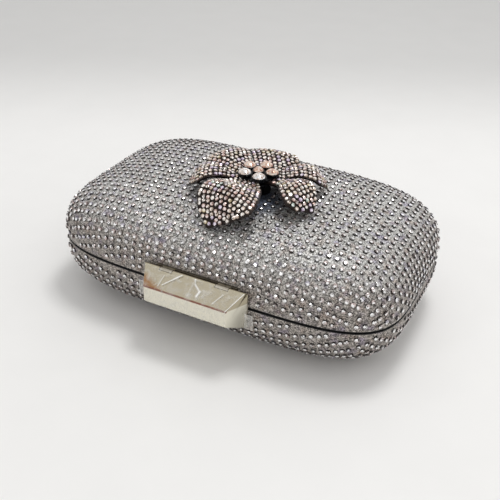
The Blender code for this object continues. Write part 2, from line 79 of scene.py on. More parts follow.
def faceOut(sheet, way):
    # Turns an open sheet's faces all up, or all down where way is -1
    editAll()
    bpy.ops.mesh.normals_make_consistent(inside=False)
    bpy.ops.object.mode_set(mode="OBJECT")
    if sum(face.normal.z for face in sheet.data.polygons) * way < 0:
        editAll()
        bpy.ops.mesh.flip_normals()
        bpy.ops.object.mode_set(mode="OBJECT")


def drawOut(climb, ratio, middle=(0, 0, 0)):
    # Extrudes what is selected up or down, and widens or narrows its end about a point
    bpy.ops.mesh.extrude_region_move(TRANSFORM_OT_translate={"value": (0, 0, climb)})
    bpy.ops.transform.resize(value=(ratio, ratio, 1), center_override=middle)


def newGrid(name, columns, rows):
    # A sheet from -1 to 1 both ways, whose points are then laid in their places
    clearSelection()
    bpy.ops.mesh.primitive_grid_add(x_subdivisions=columns, y_subdivisions=rows, size=2)
    bpy.context.object.name = name
    return bpy.context.object


def applyModifier(piece, kind, **values):
    pick(piece)
    modifier = piece.modifiers.new(kind.lower(), kind)
    for key, value in values.items():
        setattr(modifier, key, value)
    bpy.ops.object.modifier_apply(modifier=modifier.name)


def cutAway(piece, cutter):
    applyModifier(piece, "BOOLEAN", operation="DIFFERENCE", solver="EXACT", object=cutter)
    bpy.data.objects.remove(cutter, do_unlink=True)


def boxCutter(low, high):
    clearSelection()
    low, high = Vector(low), Vector(high)
    bpy.ops.mesh.primitive_cube_add(size=1, location=(low + high) / 2)
    cutter = bpy.context.object
    cutter.scale = high - low
    bpy.ops.object.transform_apply(location=True, rotation=True, scale=True)
    return cutter


def rodCutter(place, radius, length, turn=(0, 0, 0)):
    clearSelection()
    bpy.ops.mesh.primitive_cylinder_add(
        vertices=32, radius=radius, depth=length, location=place, rotation=turn)
    bpy.ops.object.transform_apply(location=True, rotation=True, scale=True)
    return bpy.context.object


def seat(piece, body, finish, angle=None):
    # Gives a finished piece its place at the origin, its shading, body and finish; no angle is flat
    pick(piece)
    bpy.ops.object.transform_apply(location=True, rotation=True, scale=True)
    if angle is None:
        bpy.ops.object.shade_flat()
    else:
        bpy.ops.object.shade_smooth_by_angle(angle=math.radians(angle))
    piece.data.materials.clear()
    piece.data.materials.append(finish)
    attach(piece, body)


def srgb(code):
    # sRGB hex to the linear values that the shaders take
    parts = [int(code[place:place + 2], 16) / 255 for place in (1, 3, 5)]
    linear = [part / 12.92 if part <= 0.04045 else ((part + 0.055) / 1.055) ** 2.4 for part in parts]
    return (*linear, 1.0)


def fill(tree, node, values):
    # Links what is a socket, or a node by its first output in use, and sets the rest
    for key, value in values.items():
        if isinstance(value, bpy.types.Node):
            value = next(socket for socket in value.outputs if socket.enabled)
        if isinstance(value, bpy.types.NodeSocket):
            tree.links.new(value, node.inputs[key])
        elif key == "stops":
            while len(node.color_ramp.elements) < len(value):
                node.color_ramp.elements.new(0.5)
            for element, (place, code) in zip(node.color_ramp.elements, value):
                element.position = place
                element.color = srgb(code)
        elif key in ("from", "to"):      # a range, given as its two ends
            for end, part in zip((" Min", " Max"), value):
                node.inputs[key.title() + end].default_value = part
        elif isinstance(key, int) or key in node.inputs:
            node.inputs[key].default_value = value
        else:
            setattr(node, key, value)


def addNode(tree, kind, values):
    # One node with its settings and what feeds it
    node = tree.nodes.new("ShaderNode" + kind)
    fill(tree, node, values)
    return node


def newFinish(name, values):
    # A material with its tree, its shader, and the coordinates on the piece
    finish = bpy.data.materials.new(name)
    finish.use_nodes = True
    tree = finish.node_tree
    shader = tree.nodes["Principled BSDF"]
    fill(tree, shader, values)
    return finish, tree, shader, addNode(tree, "TexCoord", {}).outputs["Object"]


# Finishes; a Mix node's input 0 is its share, and 6 and 7 are its two colours

tinting = {"data_type": "RGBA", "blend_type": "MULTIPLY"}
covering = {"data_type": "RGBA", "blend_type": "MIX"}

clothLook = {
    "flake": 0.0005,          # real flakes are 0.2 mm, too fine for this frame, so drawn at about a pixel
    "tilt": 0.42,             # how far a flake leans from the cloth
    "fleckStops": [
        (0.0, "#32312f"), (0.25, "#7a7976"), (0.55, "#a9a8a4"), (0.78, "#d0cfcb"), (0.93, "#f2f1ee")],
    "patch": 0.02,
    "glow": 0.005,            # the stones' coating throws lilac and rose on the flakes around them
    "glowRange": (0.54, 0.8),
    "lilac": "#dcd5f3",
    "rose": "#ecdcd3",
    "wall": (0.06, 0.045),    # painted shade: the walls, more and more from the first level down, are dimmer and warmer
    "warm": "#ddd5d0",
    "seamShade": (0.0316, 0.0334),   # painted shade of the seam's gap, black on both edges of the cloth, from here to here
    "seamShadeTint": "#040405",
    "nook": (0.012, -0.016, 0.006, 0.021),   # x, y and reach of the painted shade, with a painted blue reflection, in the nook between the two front petals
    "nookShadeDepth": 0.85,
    "nookShadeTint": "#54698f",
}


def glitterCloth():
    # Polyester glitter on a knitted back: silver flakes lie at every angle, so
    # that neighbours are dark, grey or flash white
    finish, tree, shader, place = newFinish("glitter cloth, silver polyester flake", {
        "Metallic": 0.15, "Roughness": 0.5, "IOR": 1.5})
    cells = addNode(tree, "TexVoronoi", {"Scale": 1 / clothLook["flake"], "Vector": place})
    flakes = cells.outputs["Color"]
    parts = addNode(tree, "SeparateColor", {"Color": flakes})
    flecks = addNode(tree, "ValToRGB", {"stops": clothLook["fleckStops"], "Fac": parts.outputs["Red"]})
    patches = addNode(tree, "TexNoise", {"Scale": 1 / clothLook["patch"], "Detail": 2.0, "Vector": place})
    shade = addNode(tree, "MapRange", {"to": (0.95, 1.05), "Value": patches})
    colour = addNode(tree, "Mix", tinting | {0: 1.0, 6: flecks, 7: shade})
    glow = addNode(tree, "TexNoise", {"Scale": 1 / clothLook["glow"], "Detail": 1.0, "Vector": place})
    glows = addNode(tree, "SeparateColor", {"Color": glow.outputs["Color"]})
    for part, tint in (("Green", "lilac"), ("Blue", "rose")):
        amount = addNode(tree, "MapRange", {"from": clothLook["glowRange"], "Value": glows.outputs[part]})
        colour = addNode(tree, "Mix", tinting | {0: amount, 6: colour, 7: srgb(clothLook[tint])})
    spot = addNode(tree, "SeparateXYZ", {"Vector": place})
    level = spot.outputs["Z"]
    # Painted shade: down the walls the cloth is dimmed and warmed
    down = addNode(tree, "MapRange", {"from": clothLook["wall"], "Value": level})
    colour = addNode(tree, "Mix", tinting | {0: down, 6: colour, 7: srgb(clothLook["warm"])})
    # Painted shade: the seam's dark gap is drawn black on the cloth between these two levels
    low, high = clothLook["seamShade"]
    over = addNode(tree, "Math", {"operation": "GREATER_THAN", 0: level, 1: low})
    under = addNode(tree, "Math", {"operation": "LESS_THAN", 0: level, 1: high})
    seamShaded = addNode(tree, "Math", {"operation": "MULTIPLY", 0: over, 1: under})
    colour = addNode(tree, "Mix", covering | {0: seamShaded, 6: colour, 7: srgb(clothLook["seamShadeTint"])})
    # Painted shade with a painted blue reflection in the nook between the two front petals, on the top only
    x, y, near, far = clothLook["nook"]
    flat = addNode(tree, "CombineXYZ", {"X": spot.outputs["X"], "Y": spot.outputs["Y"]})
    away = addNode(tree, "VectorMath", {"operation": "DISTANCE", 0: flat, 1: (x, y, 0)})
    deep = addNode(tree, "MapRange", {
        "interpolation_type": "SMOOTHSTEP", "from": (near, far), "to": (clothLook["nookShadeDepth"], 0.0),
        "Value": away})
    above = addNode(tree, "Math", {"operation": "GREATER_THAN", 0: level, 1: clothLook["wall"][0]})
    nook = addNode(tree, "Math", {"operation": "MULTIPLY", 0: deep, 1: above})
    colour = addNode(tree, "Mix", tinting | {0: nook, 6: colour, 7: srgb(clothLook["nookShadeTint"])})
    lean = addNode(tree, "VectorMath", {"operation": "SUBTRACT", 0: flakes, 1: (0.5, 0.5, 0.5)})
    leaned = addNode(tree, "VectorMath", {"operation": "SCALE", 0: lean, "Scale": clothLook["tilt"]})
    surface = addNode(tree, "NewGeometry", {}).outputs["Normal"]
    turned = addNode(tree, "VectorMath", {"operation": "ADD", 0: surface, 1: leaned})
    unit = addNode(tree, "VectorMath", {"operation": "NORMALIZE", 0: turned})
    fill(tree, shader, {"Base Color": colour, "Normal": unit})
    return finish


def facetedGlass(name, metallic, roughness, coat):
    # Foil-backed cut glass: the foil throws light back, so each facet has its
    # own tone, held by the piece's facetTone attribute; painted shade and painted glints are among these
    # tones
    finish, tree, shader, place = newFinish(name, {
        "Metallic": metallic, "Roughness": roughness, "IOR": 1.58,
        "Coat Weight": coat, "Coat Roughness": 0.03})
    tone = addNode(tree, "Attribute", {"attribute_name": "facetTone"})
    cloud = addNode(tree, "TexNoise", {"Scale": 900.0, "Detail": 1.0, "Vector": place})
    dim = addNode(tree, "MapRange", {"to": (0.85, 1.1), "Value": cloud})
    colour = addNode(tree, "Mix", tinting | {0: 1.0, 6: tone, 7: dim})
    fill(tree, shader, {"Base Color": colour})
    return finish


def polishedMetal(name, dark, light, roughness, grain, scratch):
    # Plated and buffed metal: fine rub marks break the shine along the buffing
    finish, tree, shader, place = newFinish(name, {"Metallic": 1.0, "Roughness": roughness})
    stretch = addNode(tree, "Mapping", {"Scale": (0.06, 1.0, 1.0), "Vector": place})
    marks = addNode(tree, "TexNoise", {"Scale": 1 / grain, "Detail": 6.0, "Vector": stretch})
    cloud = addNode(tree, "TexNoise", {"Scale": 90.0, "Detail": 3.0, "Vector": place})
    tint = addNode(tree, "ValToRGB", {"stops": [(0.35, dark), (0.65, light)], "Fac": cloud})
    rough = addNode(tree, "MapRange", {
        "from": (0.3, 0.7), "to": (roughness * 0.7, roughness * 1.4), "Value": marks})
    bump = addNode(tree, "Bump", {"Strength": 0.2, "Distance": scratch, "Height": marks})
    fill(tree, shader, {"Base Color": tint, "Roughness": rough, "Normal": bump})
    return finish


claspLook = {
    "face": "#e0dccd",
    "slope": "#b3aa94",       # painted reflection: the sloping face is darker, as it mirrors the darker room
    "slopeAngle": 33.06,
    "crease": (-0.0733, 0.03645, 0.00055),   # y, z and width of the painted brown reflection along the edge between them
    "creaseReflectionTint": "#7c4834",
    "amber": "#96693a",
    "amberRise": 0.0052,      # how far it runs up the slope, and along from one end
    "amberRun": (-0.0245, -0.0085),
    "amberWander": 0.4,
    "amberFade": (0.72, 1.05),
    "amberDepth": 0.9,
}


def claspPlate():
    # Polished nickel with a warm cast, still under its film: flat and pale, with a painted darker
    # reflection on the sloping face and a painted brown reflection along the edge, and amber at one end
    finish, tree, shader, place = newFinish("polished nickel plate, warm", {
        "Metallic": 1.0, "Roughness": 0.14})
    y, z, width = claspLook["crease"]
    spot = addNode(tree, "SeparateXYZ", {"Vector": place})
    level = spot.outputs["Z"]
    cloud = addNode(tree, "TexNoise", {"Scale": 160.0, "Detail": 3.0, "Vector": place})
    # Painted reflection: the sloping face takes the darker slope colour
    above = addNode(tree, "MapRange", {"from": (z - 0.0001, z + 0.0003), "Value": level})
    colour = addNode(tree, "Mix", covering | {
        0: above, 6: srgb(claspLook["face"]), 7: srgb(claspLook["slope"])})
    up = addNode(tree, "MapRange", {"from": (z, z + claspLook["amberRise"]), "Value": level})
    along = addNode(tree, "MapRange", {"from": claspLook["amberRun"], "Value": spot.outputs["X"]})
    both = addNode(tree, "Math", {"operation": "ADD", 0: up, 1: along})
    warped = addNode(tree, "Math", {
        "operation": "MULTIPLY_ADD", 0: cloud, 1: claspLook["amberWander"], 2: both})
    smear = addNode(tree, "MapRange", {
        "from": claspLook["amberFade"], "to": (claspLook["amberDepth"], 0.0), "Value": warped})
    # Only the outside of the slope, which runs up from the crease at this angle
    lean = math.radians(claspLook["slopeAngle"])
    off = addNode(tree, "VectorMath", {
        "operation": "DOT_PRODUCT", 0: place, 1: (0, -math.sin(lean), math.cos(lean))})
    slope = z * math.cos(lean) - y * math.sin(lean)
    outside = addNode(tree, "MapRange", {"from": (slope - 0.0006, slope - 0.0003), "Value": off})
    stained = addNode(tree, "Math", {"operation": "MULTIPLY", 0: smear, 1: outside})
    colour = addNode(tree, "Mix", covering | {0: stained, 6: colour, 7: srgb(claspLook["amber"])})
    # Painted reflection: a brown line along the edge between the faces
    flat = addNode(tree, "CombineXYZ", {"Y": spot.outputs["Y"], "Z": level})
    away = addNode(tree, "VectorMath", {"operation": "DISTANCE", 0: flat, 1: (0, y, z)})
    line = addNode(tree, "MapRange", {"from": (width * 0.6, width * 1.3), "to": (1.0, 0.0), "Value": away})
    colour = addNode(tree, "Mix", covering | {0: line, 6: colour, 7: srgb(claspLook["creaseReflectionTint"])})
    rough = addNode(tree, "MapRange", {"from": (0.3, 0.7), "to": (0.1, 0.2), "Value": cloud})
    fill(tree, shader, {"Base Color": colour, "Roughness": rough})
    return finish


# Black-plated die casting is near-black and satin, with a faint cast grain;
# injection-moulded ABS is dark grey, with a finer, spark-eroded one
castLook = {
    "shader": {"Metallic": 0.7, "Roughness": 0.32},
    "grain": {"Scale": 1500.0, "Detail": 4.0}, "palest": 0.75,
    "bump": {"Strength": 0.3, "Distance": 0.00004},
}
mouldedLook = {
    "shader": {"Roughness": 0.55, "IOR": 1.54},
    "grain": {"Scale": 2500.0, "Detail": 3.0}, "palest": 0.7,
    "bump": {"Strength": 0.4, "Distance": 0.00005},
}


def grainedSurface(name, look, dark, light):
    finish, tree, shader, place = newFinish(name, look["shader"])
    grain = addNode(tree, "TexNoise", look["grain"] | {"Vector": place})
    tint = addNode(tree, "ValToRGB", {"stops": [(0.3, dark), (look["palest"], light)], "Fac": grain})
    bump = addNode(tree, "Bump", look["bump"] | {"Height": grain})
    fill(tree, shader, {"Base Color": tint, "Normal": bump})
    return finish


liningLook = {
    "thread": 0.0006,        # satin threads are 0.1 mm, drawn coarser so that they show
    "light": "#bdb9b6",
    "dark": "#a19d9a",
}


def satinLining():
    # Polyester satin: long floats run along the bag and give a soft, directional sheen
    finish, tree, shader, place = newFinish("polyester satin", {
        "Roughness": 0.3, "IOR": 1.55, "Sheen Weight": 0.3, "Sheen Roughness": 0.3})
    long = addNode(tree, "Mapping", {"Scale": (0.12, 1.0, 1.0), "Vector": place})
    thread = addNode(tree, "TexNoise", {"Scale": 1 / liningLook["thread"], "Detail": 3.0, "Vector": long})
    folds = addNode(tree, "TexNoise", {"Scale": 24.0, "Detail": 1.0, "Distortion": 0.4, "Vector": place})
    blend = addNode(tree, "Mix", {"data_type": "FLOAT", 0: 0.12, 2: thread, 3: folds})
    stops = [(0.35, liningLook["dark"]), (0.65, liningLook["light"])]
    tint = addNode(tree, "ValToRGB", {"stops": stops, "Fac": blend})
    weave = addNode(tree, "Bump", {"Strength": 0.25, "Distance": 0.00008, "Height": thread})
    gathers = addNode(tree, "Bump", {"Strength": 0.6, "Distance": 0.0016, "Height": folds, "Normal": weave})
    fill(tree, shader, {"Base Color": tint, "Normal": gathers})
    return finish


def clearFilm():
    # Self-cling polythene film: clear, and white where it is creased or lifts from the metal
    finish, tree, shader, place = newFinish("clear polythene film", {
        "Roughness": 0.25, "IOR": 1.5, "Base Color": srgb("#fdfcf8")})
    crease = addNode(tree, "Attribute", {"attribute_name": "milk"}).outputs["Fac"]
    haze = addNode(tree, "TexNoise", {"Scale": 260.0, "Detail": 3.0, "Distortion": 0.8, "Vector": place})
    thin = addNode(tree, "MapRange", {"from": (0.45, 0.75), "to": (0.0, 0.3), "Value": haze})
    milk = addNode(tree, "Math", {"operation": "ADD", "use_clamp": True, 0: crease, 1: thin})
    bump = addNode(tree, "Bump", {"Strength": 0.4, "Distance": 0.0003, "Height": haze})
    fill(tree, shader, {"Alpha": milk, "Normal": bump})
    return finish


finishes = {
    "cloth": glitterCloth(),
    "crystal": facetedGlass("foil-backed crystal, clear and rose", 0.7, 0.14, 0.4),
    "pave": facetedGlass("foil-backed crystal, champagne", 0.6, 0.16, 0.4),
    "chaton": facetedGlass("foil-backed crystal, peach", 0.4, 0.08, 0.8),
    "black": grainedSurface("black plated casting", castLook, "#0b0b0d", "#1d1d21"),
    "petal": grainedSurface("brown-black plated casting", castLook, "#120c0a", "#2a1e19"),
    "shell": grainedSurface("moulded ABS shell", mouldedLook, "#1c1c1e", "#2a2a2d"),
    "lining": satinLining(),
    "clasp": claspPlate(),
    "frame": polishedMetal("polished light gold steel", "#c9bda3", "#e2d9c6", 0.16, 0.0008, 0.00002),
    "hinge": polishedMetal("nickel plated steel", "#b9b7b2", "#d8d6d1", 0.22, 0.0008, 0.00003),
    "steel": polishedMetal("zinc plated steel", "#8f9092", "#b5b6b8", 0.34, 0.0005, 0.00004),
    "bracket": polishedMetal("nickel plate, satin", "#a19a8c", "#b5aea0", 0.34, 0.0008, 0.00003),
    "film": clearFilm(),
}
print("finishes made:", len(finishes))


# The case's form: a rounded rectangle in plan, and a swelling side wall

case = {
    "halfLength": 0.1,
    "halfWidth": 0.0612,
    "planPower": 4.6,
    "seamLevel": 0.03245,
    "meanReach": 0.08,        # what a whole share of the plan counts for along the wall
    "outlineSteps": 4000,     # fine steps that the even ones are found among
    "wallSteps": 2000,
    "wallCrowding": 1.8,
    "rowSteps": 3000,
    "tray": {"rim": 0.0321, "way": -1, "power": 3.1, "flat": 0.34, "rise": 0.0321},
    "lid": {"rim": 0.0328, "way": 1, "power": 3.2, "flat": 0.12, "rise": 0.0354},
    "nodes": (("tray", "lower"), ("lid", "upper")),    # each half and how its CAD nodes' names start
}


def halfDepth(half):
    return half["rise"] / (1 - half["flat"] ** half["power"]) ** (1 / half["power"])


def planShare(x, y, inset=0.0):
    # How far out a spot lies in plan, 1 on the outline
    n = case["planPower"]
    a, b = case["halfLength"] - inset, case["halfWidth"] - inset
    return ((abs(x) / a) ** n + (abs(y) / b) ** n) ** (1 / n)


def profileSpot(half, depth, angle):
    # A share of the plan, and how far from the rim the wall is there
    return math.cos(angle) ** (2 / half["power"]), depth * math.sin(angle) ** (2 / half["power"])


def evenSteps(lengths, count):
    # Where equal steps fall along a chain of short lengths: in which, and how far into it
    run = [0.0]
    for length in lengths:
        run.append(run[-1] + length)
    steps, place = [], 0
    for step in range(count + 1):
        target = run[-1] * step / count
        while place < len(run) - 2 and run[place + 1] < target:
            place += 1
        steps.append((place, (target - run[place]) / max(run[place + 1] - run[place], 1e-12)))
    return steps


def outlinePoints(inset, count):
    # The plan outline at an inset, in equal steps along its length
    a = case["halfLength"] - inset
    b = case["halfWidth"] - inset
    power = 2 / case["planPower"]
    fine = []
    for step in range(case["outlineSteps"] + 1):
        angle = 2 * math.pi * step / case["outlineSteps"]
        c, s = math.cos(angle), math.sin(angle)
        fine.append(Vector((a * math.copysign(abs(c) ** power, c), b * math.copysign(abs(s) ** power, s))))
    lengths = [(second - first).length for first, second in zip(fine, fine[1:])]
    return [fine[place].lerp(fine[place + 1], part) for place, part in evenSteps(lengths, count)[:-1]]


def wallSteps(half, inset, rings, start=0.0):
    # Shares of the plan and heights down the wall, in nearly equal steps
    depth = halfDepth(half) - inset
    crown = math.acos(half["flat"] ** (half["power"] / 2))
    count, crowding = case["wallSteps"], case["wallCrowding"]
    fine = [profileSpot(half, depth, crown * (step / count) ** crowding) for step in range(count + 1)]
    fine = [spot for spot in fine if spot[1] >= start]
    lengths = [math.hypot((second[0] - first[0]) * case["meanReach"], second[1] - first[1])
               for first, second in zip(fine, fine[1:])]
    steps = []
    for place, part in evenSteps(lengths, rings):
        (share, drop), (nextShare, nextDrop) = fine[place:place + 2]
        drop += (nextDrop - drop) * part
        steps.append((share + (nextShare - share) * part, half["rim"] + half["way"] * drop))
    return steps


def domedWall(name, half, look, start=0.0):
    # A ring drawn out in steps to a dome, closed at its crown, then given its thickness
    clearSelection()
    steps = wallSteps(half, look["inset"], look["rings"], start)
    bpy.ops.mesh.primitive_circle_add(
        vertices=look["around"], radius=case["halfWidth"], location=(0, 0, steps[0][1]))
    bpy.ops.object.transform_apply(location=True)
    wall = bpy.context.object
    wall.name = name
    for point, spot in zip(wall.data.vertices, outlinePoints(look["inset"], look["around"])):
        point.co.x, point.co.y = spot * steps[0][0]
    editAll()
    for (share, level), (nextShare, nextLevel) in zip(steps, steps[1:]):
        drawOut(nextLevel - level, nextShare / share)
    bpy.ops.mesh.edge_face_add()
    faceOut(wall, half["way"])
    applyModifier(wall, "SOLIDIFY", thickness=look["thickness"], offset=-1, use_even_offset=True)
    return wall


# Glitter cloth over both halves

cloth = {
    "inset": 0.00075,         # the crystals stand this far above the cloth
    "thickness": 0.00075,
    "around": 176,
    "rings": 38,
    "rimRound": 0.00028,
    "rimSlack": 0.0002,       # finds the rim's outer edge
}

# What passes through the cloth, and the rooms around it that no stone is set in
hinge = {
    "y": 0.0624,
    "inner": 0.05,
    "centres": (-0.035, 0.035),
    "half": 0.0093,
    "room": 0.00256,
    "strap": 0.00136,
    "stoneRoom": (0.0018, 0.0042),         # past the barrel's ends, and above and below the seam
}
clasp = {
    "lid": (0.0233, 0.03515, 0.04285),     # half length, bottom and top of the bracket's slot
    "tray": (0.0133, 0.02345, 0.03025),    # and of the strike plate's
    "depth": (-0.07, -0.05),
    "stoneRoom": (0.031, 0.0205, 0.0440),  # half length, bottom and top
}
flower = {
    "x": 0.007,
    "y": -0.0077,
    "postRoom": 0.0022,
    "postLength": 0.01,
    "clothLevel": 0.068,
    "satinLevel": 0.063,
    "stoneRoom": 0.0088,
}


def postHole(piece, level):
    place = (flower["x"], flower["y"], level)
    cutAway(piece, rodCutter(place, flower["postRoom"], flower["postLength"]))


def clothSkin(halfName, node):
    half = case[halfName]
    skin = domedWall(halfName + "_cloth", half, cloth)
    edge = cloth["inset"] + cloth["rimSlack"]
    pickPoints(skin, lambda spot: abs(spot.z - half["rim"]) < 1e-6 and planShare(spot.x, spot.y, edge) > 1)
    # The cloth is turned over the rim
    bpy.ops.mesh.bevel(offset=cloth["rimRound"], segments=2, affect="EDGES")
    bpy.ops.object.mode_set(mode="OBJECT")
    seam = case["seamLevel"]
    for centre in hinge["centres"]:
        barrel = (centre, hinge["y"], seam)
        cutAway(skin, rodCutter(barrel, hinge["room"], 2 * hinge["half"], (0, math.pi / 2, 0)))
        cutAway(skin, boxCutter((centre - hinge["half"], hinge["inner"], seam - hinge["strap"]),
                                (centre + hinge["half"], hinge["y"], seam + hinge["strap"])))
    reach, low, high = clasp[halfName]
    cutAway(skin, boxCutter((-reach, clasp["depth"][0], low), (reach, clasp["depth"][1], high)))
    if halfName == "lid":
        postHole(skin, flower["clothLevel"])
    seat(skin, halfName, finishes["cloth"], 40)
    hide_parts(node)


for halfName, side in case["nodes"]:
    clothSkin(halfName, side + "_skin")
print("glitter cloth on both halves")


# Crystals, hot-fixed to the cloth in a square lattice

crystal = {
    "lid": {"pitch": 0.00458, "shift": (0.00308, -0.00059), "lean": 0.006, "wall": 1.29, "turn": 1.1},
    "tray": {"pitch": 0.00435, "shift": (0.00324, 0.00385), "lean": 0.0, "wall": 1.1, "turn": 1.18},
    "rows": 30,
    "columns": 45,
    "radius": 0.00133,
    "height": 0.00112,
    "sizes": (0.95, 1.05),
    "sunk": 0.00012,
    "sides": 8,
    "least": 0.00285,         # crowded at the corners, where the cloth is drawn in
    "cornerReach": 1.25,
    "endWall": 0.04,          # the front and back walls lie further out than this
    "rimRoom": 0.0015,
    "footRoom": 0.0012,       # none on the part of the base that the bag stands on
    "tints": [("#e0cec9", 0.4), ("#d3bab4", 0.25), ("#f2edeb", 0.2), ("#ccc4d4", 0.07), ("#b9aca6", 0.08)],
    "wander": 15,             # degrees that a stone's painted shade side strays
    "flashTurn": (50, 22),    # degrees from there to its painted glint facets, and how far they stray
    "shadeSide": 0.1,          # cosine from the middle of the painted shade side
    "flash": 0.1,
    "girdle": 0.05,
    "crown": (0.4, 0.65),
    "shoulder": (0.5, 0.85),
    "table": (0.6, 0.88),
    "bright": (0.97, 1.0),
    "clear": 0.95,            # how far the painted glint facets lose their tint
    "topShade": 0.2,            # painted shade: how much duller the stones on top are
    "streaks": (0.03, 0.2),   # share of facets that return nothing, on top, and more on the walls as painted shade
    "streakTone": (0.06, 0.3),
    "seed": 7,
}


def cutStone(look, girdle=0.28, knee=0.78, shoulder=0.87, table=0.5):
    # One cut stone, its back on the origin and its table up; girdle and knee are
    # levels, shoulder and table are widths, all as shares
    clearSelection()
    top = look["height"] * girdle
    bpy.ops.mesh.primitive_cylinder_add(
        vertices=look["sides"], radius=look["radius"], depth=top, location=(0, 0, top / 2))
    bpy.ops.object.transform_apply(location=True)
    stone = bpy.context.object
    pickPoints(stone, lambda spot: spot.z > top / 2)
    drawOut(look["height"] * (knee - girdle), shoulder)
    drawOut(look["height"] * (1 - knee), table / shoulder)
    bpy.ops.mesh.poke()       # the foil breaks the table's light into wedges
    bpy.ops.object.mode_set(mode="OBJECT")
    return stone


facets = {
    "topShadeWay": (-0.33, -0.94, 0),     # the way to a stone's painted shade side, and the same on the front wall
    "wallShadeWay": (0.2, 0, 1),
    "levels": (0.35, 0.7, 0.95),      # girdle, lower and upper crown lie below these shares of the height
    "girdleLit": 0.35,
    "crownShade": 0.04,
    "shoulderShade": 0.12,
    "shoulderSide": 0.88,             # cosines from the middle of the painted shade side, and of the painted glint side
    "shoulderFlash": 0.7,
    "lean": 4,                        # degrees that a stone may lie askew
}


def paintedShadeWay(normal, jitter):
    # Where a stone gets painted shade: its front side, or its upper side on the front wall
    wall = clamp((0.45 - normal.z) / 0.25) * clamp((-normal.y - 0.5) / 0.3)
    way = Vector(facets["topShadeWay"]) * (1 - wall) + Vector(facets["wallShadeWay"]) * wall
    way = Matrix.Rotation(jitter, 3, normal) @ way
    return (way - normal * way.dot(normal)).normalized()


def facetLook(look, dice, level, facing, flashing, stone):
    # A facet's tone, and how far it loses its tint, from its level and how it faces the stone's two sides,
    # the painted shade side and the painted glint side
    dim, spread, bright, streaks = stone
    girdle, crown, shoulder = facets["levels"]
    # The girdle is a painted contact shade, paler on the side away from the painted shade
    if level < girdle:
        return (look["girdle"] if facing > -0.1 else facets["girdleLit"]), 0
    # Facets on the painted shade side are dark
    if level < crown:
        dark = facing > look["shadeSide"]
        found = (facets["crownShade"], 0) if dark else (dice.uniform(*look["crown"]), 0.1)
    elif level < shoulder:
        dark = facing > facets["shoulderSide"]
        found = (facets["shoulderShade"], 0) if dark else (dice.uniform(*look["shoulder"]) * dim, 0.2)
        # Painted glints: the facets that face the glint side are bright and lose their tint
        if flashing > facets["shoulderFlash"] + spread:
            found = bright, look["clear"]
    elif flashing > spread:              # the rest are wedges of the table
        found = bright, look["clear"]
    else:
        found = dice.uniform(*look["table"]) * dim, 0.25
    if dice.uniform(0, 1) < streaks:
        found = dice.uniform(*crystal["streakTone"]), 0
    return found


def setStones(name, model, places, look, seed):
    # Copies of one stone, each with its own turn, size, tint and facet tones, which hold painted shade and
    # painted glints
    dice = random.Random(seed)
    corners = [point.co.copy() for point in model.data.vertices]
    faces = [(tuple(face.vertices), face.center.copy()) for face in model.data.polygons]
    highest = max(middle.z for corner, middle in faces)
    vertices, polygons, tones = [], [], []
    askew = facets["lean"]
    for spot, normal, size in places:
        turn = Vector((0, 0, 1)).rotation_difference(normal).to_matrix()
        turn = turn @ Matrix.Rotation(dice.uniform(0, math.pi), 3, "Z")
        lean = Matrix.Rotation(math.radians(dice.uniform(-askew, askew)), 3, "X")
        lean = lean @ Matrix.Rotation(math.radians(dice.uniform(-askew, askew)), 3, "Y")
        turn = turn @ lean * size
        first = len(vertices)
        vertices.extend(spot + turn @ corner for corner in corners)
        draw = dice.uniform(0, 1)
        for code, share in look["tints"]:
            draw -= share
            if draw <= 0:
                break
        tint = srgb(code)
        dark = paintedShadeWay(normal, math.radians(dice.gauss(0, look["wander"])))
        # The painted glint side, turned from the painted shade side
        flash = Matrix.Rotation(math.radians(dice.gauss(*look["flashTurn"])), 3, normal) @ dark
        bright = dice.uniform(*look["bright"])
        # Painted light by how a stone faces: on top it is duller and glints less, on the walls more facets
        # glint and more are dark
        top = clamp((normal.z - 0.35) / 0.4)
        upright = 1 - clamp(normal.z)
        spread = look["flash"] + look["topShade"] * top * 0.5 - 0.5 * upright
        streaks = look["streaks"][0] + look["streaks"][1] * upright
        stone = (1 - look["topShade"] * top, spread, bright, streaks)
        for face, middle in faces:
            polygons.append(tuple(first + corner for corner in face))
            arm = turn @ middle
            arm -= normal * arm.dot(normal)
            arm = arm.normalized() if arm.length > 1e-7 else Vector()
            tone, clear = facetLook(look, dice, middle.z / highest, arm.dot(dark), arm.dot(flash), stone)
            shade = [(part * (1 - clear) + clear) * tone for part in tint[:3]] + [1.0]
            tones.extend(shade * len(face))
    mesh = bpy.data.meshes.new(name)
    mesh.from_pydata(vertices, [], polygons)
    mesh.color_attributes.new("facetTone", "FLOAT_COLOR", "CORNER").data.foreach_set("color", tones)
    piece = bpy.data.objects.new(name, mesh)
    scene.collection.objects.link(piece)
    bpy.data.objects.remove(model, do_unlink=True)
    return piece


def profileShares(half, across, wall):
    # The share of the plan reached at each run of cloth from the crown along one axis;
    # the cloth is drawn in down the walls, so the rows lie closer there
    depth = halfDepth(half)
    table = [(0.0, 0.0)]
    last = (0.0, depth)
    for step in range(1, case["rowSteps"] + 1):
        share, level = profileSpot(half, depth, math.pi / 2 * (1 - step / case["rowSteps"]))
        run = table[-1][0] + math.hypot((share - last[0]) * across, (level - last[1]) * wall)
        table.append((run, share))
        last = (share, level)
    return table


def shareAt(table, run):
    if run > table[-1][0]:
        return None
    place = min(bisect(table, run, key=lambda entry: entry[0]) - 1, len(table) - 2)
    (low, share), (high, nextShare) = table[place:place + 2]
    part = (run - low) / max(high - low, 1e-12)
    return share + (nextShare - share) * part


